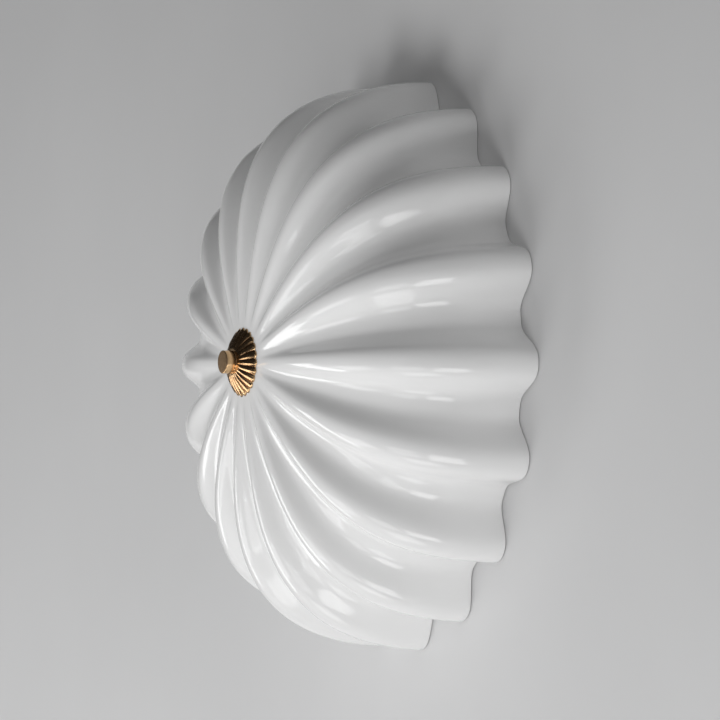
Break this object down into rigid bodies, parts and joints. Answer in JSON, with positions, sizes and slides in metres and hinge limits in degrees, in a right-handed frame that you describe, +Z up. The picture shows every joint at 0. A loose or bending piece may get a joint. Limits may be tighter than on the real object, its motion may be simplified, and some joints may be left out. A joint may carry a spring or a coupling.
{
  "type": "wall light",
  "caption": "Round wall light with a fluted white ceramic shell dome on a threaded stem, a pleated brass cap with a round finial knob, and two screw-in lamps behind it.",
  "frame": {"origin": "on the wall plane, in the middle between the two wall slots, behind the centre of the back plate", "axes": "+Y into the wall, +Z up, +X to the right as seen from the room; the light stands out along -Y"},
  "size_m": [0.35, 0.1223, 0.3462],
  "materials": {
    "glazed_ceramic": "glossy clear glaze over white fired ceramic",
    "aged_brass": "brushed and darkened brass, bright on the ridges",
    "white_enamel": "satin white enamel on pressed steel",
    "zinc_steel": "bright zinc plate",
    "contact_brass": "bare turned and pressed brass",
    "tinned_copper": "dull tin plate",
    "nickel_cap": "nickel plated, lightly scuffed",
    "black_glass": "glossy black insulator",
    "opal_glass": "opal white lamp glass",
    "holder_white": "moulded heat-resistant white",
    "white_nylon": "natural white nylon",
    "clear_silicone": "milky clear silicone",
    "black_rubber": "soft black rubber",
    "white_sleeve": "white sleeved wire",
    "green_yellow_sleeve": "green and yellow sleeved wire"
  },
  "bodies": {
    "base": {"back_plate": "white_enamel", "cable_grommet": "black_rubber", "stem": "zinc_steel", "stem_back_nut": "zinc_steel", "stem_front_nut": "zinc_steel", "depth_nut": "zinc_steel", "tooth_washer": "zinc_steel", "support_washer": "zinc_steel", "inner_gasket": "clear_silicone", "bracket_left": "zinc_steel", "bracket_right": "zinc_steel", "bracket_screws": "zinc_steel", "small_nuts": "zinc_steel", "lampholder_left": "holder_white", "lampholder_right": "holder_white", "holder_shell_left": "contact_brass", "holder_shell_right": "contact_brass", "holder_tongue_left": "contact_brass", "holder_tongue_right": "contact_brass", "nipple_nuts": "contact_brass", "terminal_block": "white_nylon", "terminal_inserts": "contact_brass", "clamp_screws": "zinc_steel", "fixing_screw": "zinc_steel", "earth_tag": "tinned_copper", "earth_screw": "contact_brass", "leads_left": "white_sleeve", "leads_right": "white_sleeve", "earth_lead": "green_yellow_sleeve"},
    "shade": {"shade": "glazed_ceramic", "hole_bush": "white_nylon", "outer_gasket": "clear_silicone"},
    "cap": {"pleated_cap": "aged_brass"},
    "knob": {"finial_knob": "aged_brass"},
    "lamp_left_contact": {"lamp_contact_left": "tinned_copper"},
    "lamp_left": {"lamp_insulator_left": "black_glass", "lamp_screw_cap_left": "nickel_cap", "lamp_globe_left": "opal_glass"},
    "lamp_right_contact": {"lamp_contact_right": "tinned_copper"},
    "lamp_right": {"lamp_insulator_right": "black_glass", "lamp_screw_cap_right": "nickel_cap", "lamp_globe_right": "opal_glass"}
  },
  "joints": [
    {"name": "shade_lift", "type": "slide", "parent": "base", "child": "shade", "axis": [0, -1, 0], "range_m": [0, 0.14]},
    {"name": "cap_lift", "type": "slide", "parent": "shade", "child": "cap", "axis": [0, -1, 0], "range_m": [0, 0.00438]},
    {"name": "knob_turn", "type": "hinge", "parent": "cap", "child": "knob", "pos_m": [0, -0.12, 0], "axis": [0, -1, 0], "range_deg": [0, 1261]},
    {"name": "lamp_left_slide", "type": "slide", "parent": "base", "child": "lamp_left_contact", "axis": [-1, 0, 0], "range_m": [0, 0.01268]},
    {"name": "lamp_left_turn", "type": "hinge", "parent": "lamp_left_contact", "child": "lamp_left", "pos_m": [-0.05, -0.044, 0], "axis": [-1, 0, 0], "range_deg": [0, 1620]},
    {"name": "lamp_right_slide", "type": "slide", "parent": "base", "child": "lamp_right_contact", "axis": [1, 0, 0], "range_m": [0, 0.01268]},
    {"name": "lamp_right_turn", "type": "hinge", "parent": "lamp_right_contact", "child": "lamp_right", "pos_m": [0.05, -0.044, 0], "axis": [1, 0, 0], "range_deg": [0, 1620]}
  ],
  "couplings": [
    {"joint": "knob_turn", "follows": "cap_lift", "rad_per_m": 5026.5},
    {"joint": "lamp_left_turn", "follows": "lamp_left_slide", "rad_per_m": 2228.1},
    {"joint": "lamp_right_turn", "follows": "lamp_right_slide", "rad_per_m": 2228.1}
  ]
}
